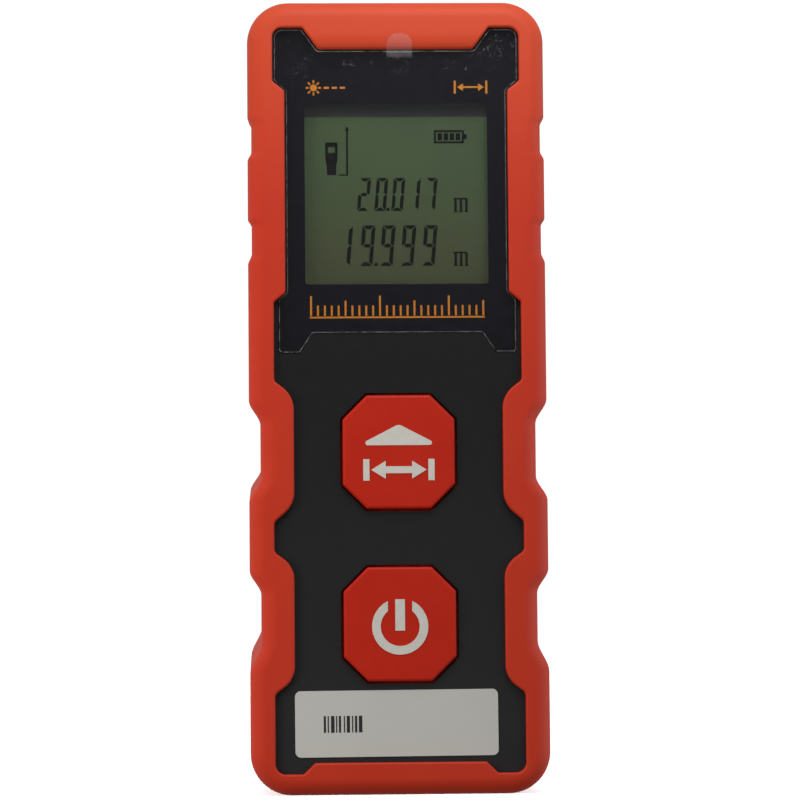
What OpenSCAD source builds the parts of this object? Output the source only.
// Handheld laser distance meter, standing on its rear measuring edge.
// X runs across the body, Y from the display side (-Y) to the battery side (+Y), Z up to the laser end.
// The origin is the centre of the bottom end face. All sizes are in millimetres.

/* [Body] */
// Width across the rubber grip
body_w = 43.2; // [42.8:0.1:44]
// Height from the measuring edge to the laser end
body_h = 115; // [115:0.5:118]
// Depth from the front of the grip to its back
body_d = 25; // [25:0.1:26]
// Radius of the four corners seen from the front
corner_r = 6; // [5.5:0.1:6.5]
// Radius of the grip's rounded front and back edges
lip_r = 2.4; // [1.8:0.1:2.6]
// Thickness of the rubber over the hard shells
grip_t = 1.9; // [1.7:0.1:2]
// Thickness of the shells' side walls
wall_t = 1.5; // [1.3:0.1:1.6]
// Gap between the two rubber halves at the parting line
seam = 0.2; // [0.1:0.05:0.3]
// Depth of the two finger scallops in each side
scallop_depth = 1.65; // [1.2:0.05:1.8]
// Depth of the two shallow notches in each side
notch_depth = 0.55; // [0.3:0.05:0.7]

/* [Display] */
// Width of the clear area in the display window
view_w = 26.6; // [25:0.1:27]
// Height of the clear area in the display window
view_h = 26.4; // [25:0.1:26.6]
// Thickness of the display window
window_t = 1.2; // [1:0.05:1.25]

/* [Keys] */
// Width of an octagonal key
key_w = 16.2; // [15:0.1:16.6]
// Height of an octagonal key
key_h = 16.4; // [15:0.1:16.6]
// Length that the 45 degree corners cut off each side
key_chamfer = 3.5; // [2.5:0.1:4.5]
// Gap between a key and the shell around it
key_gap = 0.35; // [0.25:0.05:0.45]
// How far a key travels when pressed
key_travel = 0.5; // [0.3:0.05:0.5]

/* [Battery] */
// Diameter of an AAA cell
cell_d = 10.3; // [9.8:0.1:10.4]
// Length of an AAA cell over its button
cell_l = 44.5; // [43.5:0.1:44.6]
// Radius of the round hinge edge of the battery cover
hinge_r = 1; // [0.9:0.05:1.05]

/* [Hidden] */
$fn = 48;

half_w = body_w / 2;
eps = 0.01;

// Depth levels, front to back
back_y = body_d / 2;
film_tab_y = -back_y;                 // outermost face of the film's pull tab
grip_front_y = -back_y + 0.1;
panel_y = grip_front_y + 1;           // face of the front shell
panel_in_y = panel_y + 1.6;
seat_y = panel_y + 1.25;              // floor of the display window's pocket
seat_back_y = seat_y + 1.2;
window_front_y = seat_y - 0.15 - window_t;
lcd_front_y = seat_back_y + 0.1;
board_front_y = -3;
board_t = 1;
board_back_y = board_front_y + board_t;
bay_floor_y = board_back_y + 0.5;
cell_y = bay_floor_y + 1.2 + cell_d / 2;
cover_out_y = back_y - 0.9;           // face of the rear shell and of the battery cover
cover_t = 1.2;
cover_in_y = cover_out_y - cover_t;
shell_back_in_y = cover_out_y - 1.6;

// Heights
key_z = [49.25, 24.45];               // measure key, power key
view_z = body_h - 28.1;               // centre of the display's clear area
bay_z0 = 8.2;
bay_z1 = bay_z0 + 49.8;
bay_half_w = 10.8;
bay_wall = 1.6;
cover_half_w = 12;
cover_z0 = 6.75;
cover_gap = 0.15;
hinge_y = cover_out_y - hinge_r;
hinge_z = bay_z1 + 2.4;
trunnion_r = 0.6;
screw_at = [for (x = [-15.2, 15.2]) for (z = [8, body_h - 8]) [x, z]];
post_at = [for (x = [-14.2, 14.2]) for (z = [16.5, 64.5]) [x, z]];
cell_x = 5.3;

// Laser end
optics_y = 3.4;
receiver_x = -4.8;
receiver_r = 4.6;                     // rim of the receiver lens
snout_r = receiver_r + 0.6;
emitter_x = 6.8;
emitter_r = 3;                        // bore for the collimator barrel
bezel_y = 3.25;
bezel_half = [12.8, 6.05];
bezel_corner_r = 2.5;
bezel_flange = 0.6;                   // how far its foot reaches under the shells
bezel_top = body_h - 1;
bezel_in_z = body_h - grip_t - wall_t - 0.1;

// ---------------------------------------------------------------- outlines

function smooth(t) = let (u = max(0, min(1, t))) u * u * (3 - 2 * u);

// A side recess at the parting plane: [bottom, lower ramp, upper ramp, top, depth]
recesses = [
    [18.7, 4.5, 3.5, 33.5, scallop_depth],
    [43.4, 3.5, 3.6, 58.1, scallop_depth],
    [body_h - 37.2, 1.7, 1.2, body_h - 30.5, notch_depth],
    [body_h - 22.0, 1.3, 1.4, body_h - 15.6, notch_depth]];
// The recesses lean: how far they rise for each mm towards the back
recess_rise = 0.12;

function recess_at(z) = [for (r = recesses)
    r[4] * smooth((z - r[0]) / r[1]) * smooth((r[3] - z) / r[2])];
function sum(v, i = 0) = i < len(v) ? v[i] + sum(v, i + 1) : 0;
function side_x(z) = half_w - sum(recess_at(z));

ramp_steps = 5;
side_z = [for (r = recesses) each concat(
    [for (k = [0:ramp_steps]) r[0] + r[1] * k / ramp_steps],
    [for (k = [ramp_steps:-1:0]) r[3] - r[2] * k / ramp_steps])];

// Right half of the body outline from bottom to top, as [x, z, outward normal x, outward normal z];
// shift raises the side recesses
corner_steps = 8;
function corner(z, a0) = [for (k = [0:corner_steps]) let (a = a0 + 90 * k / corner_steps)
    [half_w - corner_r + corner_r * cos(a), z + corner_r * sin(a), cos(a), sin(a)]];
function half_outline(shift) = concat(
    corner(corner_r, -90),
    [for (z = side_z) [side_x(z), z + shift, 1, 0]],
    corner(body_h - corner_r, 0));

function half_points(inset, shift = 0) = [for (p = half_outline(shift))
    [p[0] - inset * p[2], p[1] - inset * p[3]]];
function reversed(v) = [for (i = [len(v) - 1:-1:0]) v[i]];
function mirrored(v) = concat(v, [for (p = reversed(v)) [-p[0], p[1]]]);

// A corner [x, z, radius] between its neighbours, as the points of its arc
arc_steps = 5;
function unit(v) = v / norm(v);
function xz(p) = [p[0], p[1]];
function arc_between(c, r, u, v) = [for (k = [0:arc_steps])
    c + r * unit(u * (arc_steps - k) + v * k)];
function fillet(p, before, after) = let (
        a = unit(xz(before) - xz(p)),
        b = unit(xz(after) - xz(p)),
        half_angle = acos(a * b) / 2,
        c = xz(p) + unit(a + b) * p[2] / sin(half_angle),
        run = p[2] / tan(half_angle))
    arc_between(c, p[2], unit(xz(p) + a * run - c), unit(xz(p) + b * run - c));
function rounded(v) = [for (i = [0:len(v) - 1])
    each fillet(v[i], v[(i + len(v) - 1) % len(v)], v[(i + 1) % len(v)])];
function both_sides(v) = rounded(concat(v, [for (p = reversed(v)) [-p[0], p[1], p[2]]]));

// Grip pads that close in beside the scallops, shared by the front and back openings
pads = [
    [half_w - 3.6, 14.5, 1], [half_w - 6.45, 16.6, 3.8],
    [half_w - 6.45, 32.8, 3.8], [half_w - 3.6, 34.9, 1],
    [half_w - 3.6, 39.2, 1], [half_w - 6.5, 41.7, 4],
    [half_w - 6.5, 57.4, 4], [half_w - 3.7, 59.6, 0.8]];
front_opening = both_sides(concat(
    [[12.3, 4.65, 0.4], [13.95, 3.05, 0.4], [half_w - 3.6, 3.05, 1.5]],
    pads,
    [[half_w - 3.7, 71, 0.5], [half_w - 5.4, 72.4, 0.5],
     [half_w - 5.4, body_h - 13.15, 0.5], [half_w - 3.65, body_h - 11.75, 0.5],
     [half_w - 3.65, body_h - 3.9, 1.5], [13.55, body_h - 3.9, 0.5],
     [11.25, body_h - 7.05, 0.5]]));
back_opening = both_sides(concat(
    [[half_w - 3.6, 3.9, 2.5]], pads, [[half_w - 3.7, body_h - 4.3, 2.5]]));

// Display window, with ears at its four corners; grow moves its edges outwards
function window_outline(grow) = both_sides([
    [12.3, 66.6 - grow, 0.4], [14.2, 63.75 - grow, 0.5],
    [17.15 + grow, 63.75 - grow, 0.5], [17.15 + grow, 71.3, 0.5],
    [half_w - 5.65 + grow, 72.5, 0.4], [half_w - 5.65 + grow, body_h - 13.1, 0.4],
    [half_w - 3.95 + grow, body_h - 11.6, 0.4], [half_w - 3.95 + grow, body_h - 4.15 + grow, 1.2],
    [13.7 - grow / 2, body_h - 4.15 + grow, 0.4], [11.4 - grow / 2, body_h - 7.3 + grow, 0.4]]);

function octagon(grow) = let (w = key_w / 2 + grow, h = key_h / 2 + grow, c = key_chamfer + grow * 0.586)
    [[w - c, -h], [w, c - h], [w, h - c], [w - c, h], [c - w, h], [-w, h - c], [-w, c - h], [c - w, -h]];

// ---------------------------------------------------------------- shared shapes

// Extrudes an XZ outline from y0 to y1
module slab(y0, y1) {
    translate([0, y1, 0]) rotate([90, 0, 0]) linear_extrude(y1 - y0) children();
}

// Box from its lowest to its highest corner
module block(low, high) {
    translate(low) cube(high - low);
}

// Round bar along Y
module rod_y(x, z, y0, y1, r) {
    translate([x, y1, z]) rotate([90, 0, 0]) cylinder(r = r, h = y1 - y0);
}

// Round bar along Z
module rod_z(x, y, z0, z1, r) {
    translate([x, y, z0]) cylinder(r = r, h = z1 - z0);
}

// Round bar along X, centred
module rod_x(y, z, half_l, r) {
    translate([-half_l, y, z]) rotate([0, 90, 0]) cylinder(r = r, h = 2 * half_l);
}

// Rectangle in XZ with rounded corners
module round_rect(w, h, r) {
    polygon(both_sides([[w / 2, -h / 2, r], [w / 2, h / 2, r]]));
}

module body_slab(inset, y0, y1) {
    slab(y0, y1) polygon(mirrored(half_points(inset)));
}

// Half of the body from the parting line to its rounded front or back edge, as one closed skin.
// Each ring pairs left and right points, so its flat ends are ladders of quads.
lip_steps = 5;
module body_half(y_part, y_face) {
    y_side = y_face > y_part ? y_face - lip_r : y_face + lip_r;
    levels = concat([[y_part, 0, 0]], [for (k = [0:lip_steps]) let (a = 90 * k / lip_steps)
        [y_side + (y_face - y_side) * sin(a), lip_r * (1 - cos(a)), recess_rise * y_side]]);
    rings = [for (v = levels) let (pts = half_points(v[1], v[2]))
        each concat([for (p = pts) [p[0], v[0], p[1]]], [for (p = reversed(pts)) [-p[0], v[0], p[1]]])];
    n = 2 * len(half_outline(0));
    last = (len(levels) - 1) * n;
    walls = [for (k = [0:len(levels) - 2]) for (i = [0:n - 1]) let (j = (i + 1) % n)
        [k * n + i, k * n + j, (k + 1) * n + j, (k + 1) * n + i]];
    ladder_part = [for (i = [0:n / 2 - 2]) [i, n - 1 - i, n - 2 - i, i + 1]];
    ladder_face = [for (f = ladder_part) [for (i = reversed(f)) i + last]];
    faces = concat(walls, ladder_part, ladder_face);
    polyhedron(rings, y_face < y_part ? [for (f = faces) reversed(f)] : faces);
}

// Cross-headed self-tapping screw along Y: seat is the face under its head
module screw_y(x, z, seat, tip, r, head_r, head_t) {
    difference() {
        union() {
            rod_y(x, z, min(seat, tip), max(seat, tip), r);
            rod_y(x, z, min(seat, seat + head_t), max(seat, seat + head_t), head_r);
        }
        for (s = [0, 90]) translate([x, seat + head_t, z]) rotate([0, s, 0])
            cube([head_r * 1.2, abs(head_t), head_r * 0.3], center = true);
    }
}

// The bezel's outline seen from the laser end, extruded from z0 to z1
module bezel_block(grow, z0, z1) {
    w = bezel_half[0] + grow;
    d = bezel_half[1] + grow;
    translate([0, bezel_y, z0]) linear_extrude(z1 - z0)
        polygon(both_sides([[w, -d, bezel_corner_r], [w, d, bezel_corner_r]]));
}

// Cut for the bezel, through the top wall of every housing part
module bezel_cut(grow) {
    bezel_block(grow, body_h - 5, body_h + 1);
}

// Conical spring along Z, wound from its wide base at z0 to its narrow tip at z1
module coil(x, y, z0, z1, base_r, tip_r, wire, turns) {
    steps = 12;
    sides = 6;
    n = turns * steps;
    function at(i) = let (t = i / n, a = 360 * turns * t, r = base_r + (tip_r - base_r) * t)
        [x + r * cos(a), y + r * sin(a), z0 + (z1 - z0) * t];
    function ring(i) = let (a = 360 * turns * i / n, c = at(i)) [for (s = [0:sides - 1])
        let (b = 360 * s / sides) c + wire / 2 * [cos(b) * cos(a), cos(b) * sin(a), sin(b)]];
    walls = [for (i = [0:n - 1]) for (s = [0:sides - 1]) let (t = (s + 1) % sides)
        [i * sides + s, i * sides + t, (i + 1) * sides + t, (i + 1) * sides + s]];
    ends = [[for (s = [sides - 1:-1:0]) s], [for (s = [0:sides - 1]) n * sides + s]];
    polyhedron([for (i = [0:n]) each ring(i)], concat(walls, ends));
}

// ---------------------------------------------------------------- housing

// Rubber overmould of the front shell
module front_grip() {
    color("orangered") difference() {
        body_half(-seam / 2, grip_front_y);
        body_slab(grip_t, panel_y, 1);
        slab(grip_front_y - 1, panel_y + 1) polygon(front_opening);
        bezel_cut(0.3);
        pull_tab_relief();
    }
}

// Bevel at the top of the front opening, which the film's tab lies over
tab_z0 = body_h - 7.3;
tab_z1 = body_h - 4.8;
relief_z = body_h - 5;
module pull_tab_relief() {
    translate([-10.8, 0, 0]) rotate([90, 0, 90]) linear_extrude(21.6)
        polygon([[grip_front_y - 1, relief_z], [grip_front_y, relief_z],
            [panel_y, body_h - 7.05], [panel_y, body_h - 8], [grip_front_y - 1, body_h - 8]]);
}

// Rubber overmould of the rear shell
module rear_grip() {
    color("orangered") difference() {
        body_half(seam / 2, back_y);
        body_slab(grip_t, -1, cover_out_y);
        slab(cover_out_y - 1, back_y + 1) polygon(back_opening);
        bezel_cut(0.3);
    }
}

module key_openings() {
    for (z = key_z) translate([0, 0, z]) slab(panel_y - 1, panel_in_y + 1) polygon(octagon(key_gap));
}

module front_shell() {
    color("#262626") difference() {
        union() {
            body_slab(grip_t, panel_y, panel_in_y);
            difference() {
                body_slab(grip_t, panel_in_y - eps, 0);
                body_slab(grip_t + wall_t, panel_in_y - 1, 1);
            }
            slab(panel_in_y - eps, seat_back_y) polygon(window_outline(0.8));
            for (p = screw_at) rod_y(p[0], p[1], panel_in_y - eps, 0, 2.4);
            for (p = post_at) rod_y(p[0], p[1], panel_in_y - eps, board_front_y, 1.6);
        }
        slab(panel_y - 1, seat_y) polygon(window_outline(0.15));
        translate([0, 0, view_z]) slab(panel_y - 1, 0) round_rect(view_w + 1, view_h + 1, 0.6);
        key_openings();
        for (p = screw_at) rod_y(p[0], p[1], -7, 1, 1);
        for (p = post_at) rod_y(p[0], p[1], board_front_y - 4, board_front_y + 1, 0.85);
        bezel_cut(0.1);
    }
}

// Box for the two cells, open to the back
module battery_bay() {
    difference() {
        block([-bay_half_w - bay_wall, bay_floor_y, 5.8],
            [bay_half_w + bay_wall, cover_in_y - 0.05, bay_z1 + 1]);
        block([-bay_half_w, bay_floor_y + 1, bay_z0], [bay_half_w, back_y, bay_z1]);
        for (x = [-cell_x, cell_x])
            block([x - 1, bay_floor_y - 1, bay_z0 - 0.1], [x + 1, bay_floor_y + 2, bay_z0 + 0.6]);
        block([-4.8, cover_in_y - 2.2, cover_z0 - 0.2], [4.8, back_y, bay_z0 + 1]);
    }
}

// Bearing blocks for the battery cover's trunnions
module hinge_blocks() {
    for (s = [-1, 1]) translate([s * (cover_half_w + cover_gap + 1.1), 0, 0])
        block([-1.1, hinge_y - 1.6, hinge_z - 1.6], [1.1, cover_out_y - 1, hinge_z + 1.5]);
}

module rear_shell() {
    color("#262626") difference() {
        union() {
            difference() {
                body_slab(grip_t, 0, cover_out_y);
                body_slab(grip_t + wall_t, -1, shell_back_in_y);
                block([-cover_half_w - cover_gap, cover_in_y - 2, cover_z0 - cover_gap],
                    [cover_half_w + cover_gap, back_y, hinge_z + hinge_r + cover_gap]);
            }
            for (p = screw_at) rod_y(p[0], p[1], 0, cover_out_y - 1, 2.8);
            battery_bay();
            hinge_blocks();
        }
        for (p = screw_at) {
            rod_y(p[0], p[1], -1, back_y, 1.1);
            rod_y(p[0], p[1], cover_out_y - 3.6, back_y, 2);
        }
        rod_x(hinge_y, hinge_z, cover_half_w + 1.35, trunnion_r + 0.06);
        translate([0, cover_out_y + 4.2, cover_z0 - 1]) sphere(r = 5);
        bezel_cut(0.1);
    }
}

module case_screws() {
    color("silver") for (p = screw_at)
        screw_y(p[0], p[1], cover_out_y - 3.6, -6.5, 0.98, 1.85, 1.3);
}

// Serial label, stuck on a little askew
label_at = [-0.57, 10.24];
label_size = [29.2, 9.5];
label_turn = -0.27;
module serial_label() {
    color("#bdbab4") translate([label_at[0], 0, label_at[1]]) rotate([0, label_turn, 0])
        slab(panel_y - 0.12, panel_y) round_rect(label_size[0], label_size[1], 0.8);
}

module rating_label() {
    color("silver") translate([0, 0, body_h - 29]) slab(cover_out_y, cover_out_y + 0.12)
        round_rect(26, 30, 1.2);
}

// ---------------------------------------------------------------- display

module display_window() {
    color("#1b1e26", 0.6) slab(window_front_y, window_front_y + window_t)
        polygon(window_outline(0.1));
}

// Black border printed on the back of the window
module window_mask() {
    color("black") difference() {
        slab(window_front_y + window_t, seat_y - 0.1) polygon(window_outline(0.05));
        translate([0, 0, view_z]) slab(panel_y - 1, 0) round_rect(view_w, view_h, 0.4);
    }
}

// Double-sided tape between the window and the shell
module window_tape() {
    color("dimgray") difference() {
        slab(seat_y - 0.1, seat_y) polygon(window_outline(-0.3));
        translate([0, 0, view_z]) slab(panel_y - 1, 0) round_rect(view_w + 1.6, view_h + 1.6, 0.6);
    }
}

// Protective film with a round-ended pull tab that climbs the bevel above the window
film_t = 0.1;
tab_half_w = 1.85;
tab_x = 0.58;
tab_end_r = 1.5;
tab_crest = relief_z + 0.1;
module screen_film() {
    ramp = [[window_front_y, tab_z0 - 1], [window_front_y, tab_z0 + 0.1],
        [film_tab_y + film_t, tab_crest - 0.17], [film_tab_y + film_t, tab_z1 + 1],
        [film_tab_y, tab_z1 + 1], [film_tab_y, tab_crest - 0.27],
        [window_front_y - film_t, tab_z0], [window_front_y - film_t, tab_z0 - 1]];
    color("white", 0.3) union() {
        slab(window_front_y - film_t, window_front_y) polygon(window_outline(0));
        translate([tab_x, 0, 0]) intersection() {
            translate([-tab_half_w - 1, 0, 0]) rotate([90, 0, 90]) linear_extrude(2 * tab_half_w + 2)
                polygon(ramp);
            slab(film_tab_y - 1, window_front_y + 1)
                polygon(both_sides([[tab_half_w, tab_z0 - 0.9, 0.1], [tab_half_w, tab_z1, tab_end_r]]));
        }
    }
}

lcd_half_w = 15;
lcd_z0 = view_z - 16.4;
lcd_z1 = view_z + 14.7;
module lcd_front_glass() {
    color("#4d5a40") block([-lcd_half_w, lcd_front_y, lcd_z0], [lcd_half_w, lcd_front_y + 0.7, lcd_z1]);
}

module lcd_rear_glass() {
    color("#56634a") block([-lcd_half_w, lcd_front_y + 0.7, lcd_z0 + 2.5],
        [lcd_half_w, lcd_front_y + 1.4, lcd_z1]);
}

module lcd_reflector() {
    color("gainsboro") block([-lcd_half_w + 0.2, lcd_front_y + 1.45, lcd_z0 + 2.7],
        [lcd_half_w - 0.2, lcd_front_y + 1.65, lcd_z1 - 0.2]);
}

module light_guide() {
    color("white", 0.7) block([-lcd_half_w + 0.2, lcd_front_y + 1.7, lcd_z0 + 2.7],
        [lcd_half_w - 0.2, lcd_front_y + 3.7, lcd_z1 - 1]);
}

module backlight_led() {
    color("gold") block([-6, lcd_front_y + 1.8, lcd_z1 - 0.9], [6, lcd_front_y + 3.6, lcd_z1 - 0.05]);
}

// White frame that holds the LCD glass off the board
module lcd_holder() {
    color("whitesmoke") difference() {
        block([-lcd_half_w - 1.2, lcd_front_y - 0.05, lcd_z0 - 1.3],
            [lcd_half_w + 1.2, board_front_y - 0.05, lcd_z1 + 1.2]);
        block([-lcd_half_w - 0.2, lcd_front_y - 1, lcd_z0 - 0.3],
            [lcd_half_w + 0.2, lcd_front_y + 3.75, lcd_z1 + 0.2]);
        block([-lcd_half_w + 1.5, lcd_front_y, lcd_z0 - 0.3],
            [lcd_half_w - 1.5, 0, lcd_z1 - 1.5]);
    }
}

// Elastomer connector from the glass ledge to the board
module zebra_strip() {
    color("#d9a0a0") block([-lcd_half_w + 1.6, lcd_front_y + 0.75, lcd_z0 + 0.1],
        [lcd_half_w - 1.6, board_front_y - 0.05, lcd_z0 + 2.2]);
}

// ---------------------------------------------------------------- keys and switches

key_face_y = panel_y - 0.8;
flange_y = panel_in_y + 0.1;
flange_t = 0.9;
post_y = flange_y + flange_t + 0.75;
switch_top_y = board_front_y - 3.5;
plunger_seat = 0.5;                   // how deep a released plunger sits in its switch

module key_cap(z) {
    translate([0, 0, z]) {
        slab(key_face_y + 0.3, flange_y + eps) polygon(octagon(0));
        slab(key_face_y, key_face_y + 0.3 + eps) polygon(octagon(-0.2));
        slab(flange_y, flange_y + flange_t) polygon(octagon(0.9));
        rod_y(0, 0, flange_y, post_y, 2);
    }
}

module measure_key() {
    color("#b32a1c") key_cap(key_z[0]);
}

module power_key() {
    color("#b32a1c") key_cap(key_z[1]);
}

legend_t = 0.08;
// Beam arrow over a dimension mark
module measure_key_legend() {
    color("#dcd8cc") translate([0, 0, key_z[0]]) slab(key_face_y - legend_t, key_face_y) {
        polygon(both_sides([[4.8, 0.95, 0.3], [4.8, 1.5, 0.3], [0.25, 3.85, 0.3]]));
        for (s = [-1, 1]) {
            translate([s * 4.7, -2.6]) square([0.9, 3.1], center = true);
            polygon([[s * 4, -2.6], [s * 1.9, -1.3], [s * 1.9, -3.9]]);
        }
        translate([0, -2.6]) square([4, 1], center = true);
    }
}

module power_key_legend() {
    color("#dcd8cc") translate([0, 0, key_z[1]]) slab(key_face_y - legend_t, key_face_y) {
        difference() {
            translate([0, -0.35]) circle(r = 4.05);
            translate([0, -0.35]) circle(r = 2.8);
            translate([-1.75, 0]) square([3.5, 6]);
        }
        translate([-0.7, -0.95]) square([1.4, 4.5]);
    }
}

// Tactile switch on the board, with a round well for its plunger
module switch_at(z) {
    difference() {
        block([-3.1, switch_top_y, z - 3.1], [3.1, board_front_y - 0.05, z + 3.1]);
        rod_y(0, z, switch_top_y - 1, switch_top_y + plunger_seat + key_travel + 0.1, 1.8);
    }
}

module plunger_at(z) {
    rod_y(0, z, post_y + 0.05, switch_top_y + plunger_seat, 1.7);
}

module measure_switch() {
    color("#303030") switch_at(key_z[0]);
}

module measure_switch_plunger() {
    color("black") plunger_at(key_z[0]);
}

module power_switch() {
    color("#303030") switch_at(key_z[1]);
}

module power_switch_plunger() {
    color("black") plunger_at(key_z[1]);
}

// ---------------------------------------------------------------- circuit board

optics_screw_at = [[-9.6, body_h - 17], [9.6, body_h - 17]];

module main_board() {
    color("darkgreen") difference() {
        slab(board_front_y, board_back_y) union() {
            translate([-16, 12]) square([32, body_h - 24]);
            translate([-12, 6.5]) square([24, 6]);
        }
        for (p = post_at) rod_y(p[0], p[1], board_front_y - 1, board_back_y + 1, 0.95);
        for (p = optics_screw_at) rod_y(p[0], p[1], board_front_y - 1, board_back_y + 1, 0.9);
        for (x = [-cell_x, cell_x])
            block([x - 0.9, board_front_y - 1, bay_z0], [x + 0.9, board_back_y + 1, bay_z0 + 0.5]);
    }
}

// Packages on the front of the board: [x, z, width, height, thickness]
module packages(list) {
    for (p = list) block([p[0] - p[2] / 2, board_front_y - p[4], p[1] - p[3] / 2],
        [p[0] + p[2] / 2, board_front_y - 0.02, p[1] + p[3] / 2]);
}

module board_chips() {
    color("#1d1d1d") packages([[-5.5, 62.5, 7, 7, 1.2], [5, 62.5, 5, 4, 1], [-8, 36.8, 5, 6, 1.2]]);
}

module board_passives() {
    color("tan") {
        packages([for (i = [0:5]) [-12.5 + 2.2 * i, 31.2, 1, 1.8, 0.6]]);
        packages([for (i = [0:4]) [2.5 + 2.2 * i, 31.2, 1, 1.8, 0.6]]);
        packages([[11.5, 61.5, 3.2, 2.5, 0.9], [-1.2, 36.8, 3.5, 2.8, 1.6], [0, 13.2, 4, 2, 1.1]]);
    }
}

module board_screws() {
    color("silver") for (p = post_at)
        screw_y(p[0], p[1], board_back_y, board_front_y - 3.5, 0.82, 1.4, 0.8);
}

module buzzer() {
    color("#202020") difference() {
        rod_y(9, 37, board_front_y - 2.6, board_front_y - 0.02, 4.4);
        rod_y(9, 37, board_front_y - 3, board_front_y - 1.8, 0.9);
    }
}

// ---------------------------------------------------------------- laser end

optics_z0 = body_h - 29;
optics_z1 = body_h - 6;
snout_top = body_h - 2.4;

module optics_block() {
    color("#2b2b30") difference() {
        union() {
            block([-11.5, board_back_y + 0.3, optics_z0], [11.5, optics_y + 5.7, optics_z1]);
            rod_z(receiver_x, optics_y, optics_z1 - 1, snout_top, snout_r);
        }
        rod_z(receiver_x, optics_y, optics_z0 + 4, body_h, receiver_r - 0.5);
        rod_z(receiver_x, optics_y, snout_top - 2.6, body_h, receiver_r + 0.05);
        rod_z(receiver_x, optics_y, optics_z0 - 1, optics_z0 + 5, 2.5);
        rod_z(emitter_x, optics_y, optics_z0 - 1, body_h, emitter_r);
        for (p = optics_screw_at) rod_y(p[0], p[1], board_back_y - 1, board_back_y + 4, 0.75);
    }
}

module receiver_lens() {
    cap_h = 0.8;
    ball_r = (receiver_r * receiver_r + cap_h * cap_h) / (2 * cap_h);
    top = snout_top - 1.2;
    color("lightblue", 0.5) union() {
        rod_z(receiver_x, optics_y, snout_top - 2.55, top, receiver_r);
        intersection() {
            translate([receiver_x, optics_y, top + cap_h - ball_r]) sphere(r = ball_r);
            rod_z(receiver_x, optics_y, top - 0.2, top + 2, receiver_r);
        }
    }
}

module lens_retainer() {
    color("#1a1a1a") difference() {
        rod_z(receiver_x, optics_y, snout_top - 0.9, snout_top - 0.2, receiver_r);
        rod_z(receiver_x, optics_y, snout_top - 2, snout_top + 1, receiver_r - 0.6);
    }
}

module receiver_sensor() {
    color("gold") union() {
        rod_z(receiver_x, optics_y, optics_z0 + 0.1, optics_z0 + 2.6, 2.1);
        rod_z(receiver_x, optics_y, optics_z0 + 0.1, optics_z0 + 0.6, 2.45);
    }
}

module sensor_board() {
    color("darkgreen") block([-11, board_back_y + 0.6, optics_z0 - 1],
        [11, optics_y + 5.4, optics_z0 - 0.05]);
}

// Flat cable from the main board up and along the underside of the sensor board
flex_t = 0.12;
module optics_flex() {
    flex_y = board_back_y + 0.02;
    bend_z = optics_z0 - 1.03;
    color("orange") union() {
        block([-9, flex_y, bend_z - 5], [-3, flex_y + flex_t, bend_z]);
        block([-9, flex_y, bend_z - flex_t], [-3, flex_y + 4, bend_z]);
    }
}

module laser_diode() {
    color("gold") union() {
        rod_z(emitter_x, optics_y, optics_z0 + 0.1, optics_z0 + 1.3, 2.8);
        rod_z(emitter_x, optics_y, optics_z0 + 1.3 - eps, optics_z0 + 3.5, 2.3);
    }
}

module collimator_barrel() {
    color("goldenrod") difference() {
        rod_z(emitter_x, optics_y, optics_z0 + 4, snout_top, emitter_r - 0.08);
        rod_z(emitter_x, optics_y, optics_z0, body_h, 1.9);
        rod_z(emitter_x, optics_y, snout_top - 2, body_h, 2.4);
    }
}

module collimator_lens() {
    color("lightblue", 0.5) rod_z(emitter_x, optics_y, snout_top - 1.95, snout_top - 0.5, 2.36);
}

// Black insert in the laser end, trapped between the two shells
module optics_bezel() {
    color("#141414") difference() {
        union() {
            bezel_block(bezel_flange, bezel_in_z - 1.4, bezel_in_z);
            bezel_block(0, bezel_in_z - 0.1, bezel_top);
        }
        rod_z(receiver_x, optics_y, body_h - 8, body_h, snout_r + 0.08);
        rod_z(emitter_x, optics_y, body_h - 8, body_h, emitter_r);
    }
}

module optics_screws() {
    color("silver") for (p = optics_screw_at)
        screw_y(p[0], p[1], board_front_y, board_back_y + 3.5, 0.72, 1.3, -0.8);
}

// ---------------------------------------------------------------- power

// AAA cell along Z from its flat negative end; up is 1 for button up, -1 for button down
module cell(x, z_negative, up) {
    translate([x, cell_y, z_negative]) mirror([0, 0, up > 0 ? 0 : 1]) {
        cylinder(r = cell_d / 2 - 0.3, h = 0.3);
        translate([0, 0, 0.25]) cylinder(r = cell_d / 2, h = cell_l - 1.5);
        cylinder(r = cell_d / 2 - 0.5, h = cell_l - 1);
        cylinder(r = 1.9, h = cell_l);
    }
}

left_z0 = bay_z0 + 3.85;
right_z1 = bay_z0 + 1.8 + cell_l;
module battery_cell_left() {
    color("#3c6e9e") cell(-cell_x, left_z0, 1);
}

module battery_cell_right() {
    color("#3c6e9e") cell(cell_x, right_z1, -1);
}

// Contact leaf on the bay's bottom wall, with a tail down to the board
module contact_leaf(x) {
    block([x - 4.2, bay_floor_y + 1.1, bay_z0 + 0.05], [x + 4.2, cover_in_y - 1, bay_z0 + 0.35]);
    block([x - 0.8, board_front_y - 0.4, bay_z0 + 0.05], [x + 0.8, bay_floor_y + 1.2, bay_z0 + 0.35]);
}

module negative_contact() {
    color("silver") contact_leaf(-cell_x);
}

module negative_spring() {
    color("silver") coil(-cell_x, cell_y, bay_z0 + 0.62, left_z0 - 0.28, 3.6, 2.3, 0.5, 4);
}

module positive_contact() {
    color("silver") union() {
        contact_leaf(cell_x);
        rod_z(cell_x, cell_y, bay_z0 + 0.3, bay_z0 + 1.75, 1.7);
    }
}

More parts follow.
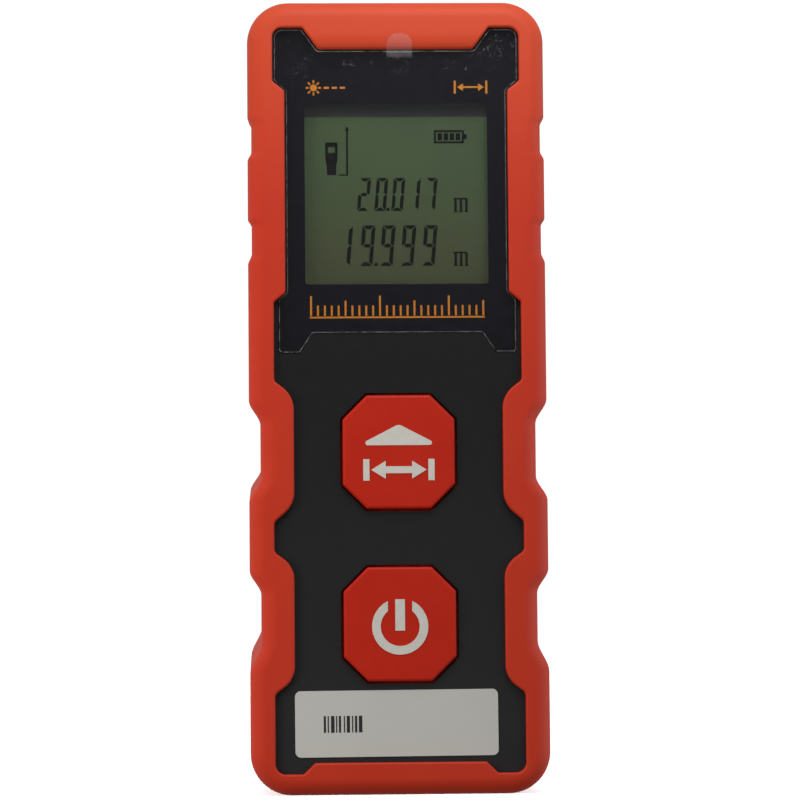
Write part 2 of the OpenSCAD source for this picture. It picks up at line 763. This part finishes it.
// Plate that joins the two cells at the top of the bay
module bridge_contact() {
    color("silver") union() {
        block([-cell_x - 4.2, bay_floor_y + 1.1, bay_z1 - 0.35],
            [cell_x + 4.2, cover_in_y - 1, bay_z1 - 0.05]);
        rod_z(-cell_x, cell_y, left_z0 + cell_l + 0.05, bay_z1 - 0.3, 1.7);
    }
}

module bridge_spring() {
    color("silver") coil(cell_x, cell_y, bay_z1 - 0.62, right_z1 + 0.28, 3.6, 2.3, 0.5, 4);
}

// Cover with a round hinge edge, two trunnions and a latch tongue at its foot
tongue_half_w = 4.5;
module battery_cover() {
    color("#262626") difference() {
        union() {
            block([-cover_half_w, cover_in_y, cover_z0], [cover_half_w, cover_out_y, hinge_z]);
            rod_x(hinge_y, hinge_z, cover_half_w - 0.05, hinge_r);
            rod_x(hinge_y, hinge_z, cover_half_w + 1.2, trunnion_r);
            block([-tongue_half_w, cover_in_y - 2, cover_z0],
                [tongue_half_w, cover_out_y - 0.1, cover_z0 + 0.9]);
            for (k = [0:2]) block([-3.6, cover_out_y - 0.1, cover_z0 + 2 + 1.5 * k],
                [3.6, cover_out_y + 0.35, cover_z0 + 2.7 + 1.5 * k]);
        }
        for (s = [-1, 1]) translate([s * (tongue_half_w + 0.4), 0, 0])
            block([-0.3, cover_in_y - 1, cover_z0 - 1], [0.3, back_y, cover_z0 + 8]);
    }
}

// Foam strip that keeps the cells from rattling
module cover_foam() {
    color("#4a4a4a") block([-8, cover_in_y - 0.28, 28], [8, cover_in_y - 0.01, 40]);
}

// ---------------------------------------------------------------- nodes

front_grip();
rear_grip();
front_shell();
rear_shell();
case_screws();
display_window();
window_mask();
window_tape();
screen_film();
serial_label();
rating_label();
measure_key();
measure_key_legend();
power_key();
power_key_legend();
measure_switch();
measure_switch_plunger();
power_switch();
power_switch_plunger();
lcd_front_glass();
lcd_rear_glass();
lcd_reflector();
lcd_holder();
light_guide();
backlight_led();
zebra_strip();
main_board();
board_chips();
board_passives();
board_screws();
buzzer();
optics_block();
receiver_lens();
lens_retainer();
receiver_sensor();
sensor_board();
optics_flex();
laser_diode();
collimator_barrel();
collimator_lens();
optics_bezel();
optics_screws();
battery_cell_left();
battery_cell_right();
negative_contact();
negative_spring();
positive_contact();
bridge_contact();
bridge_spring();
battery_cover();
cover_foam();
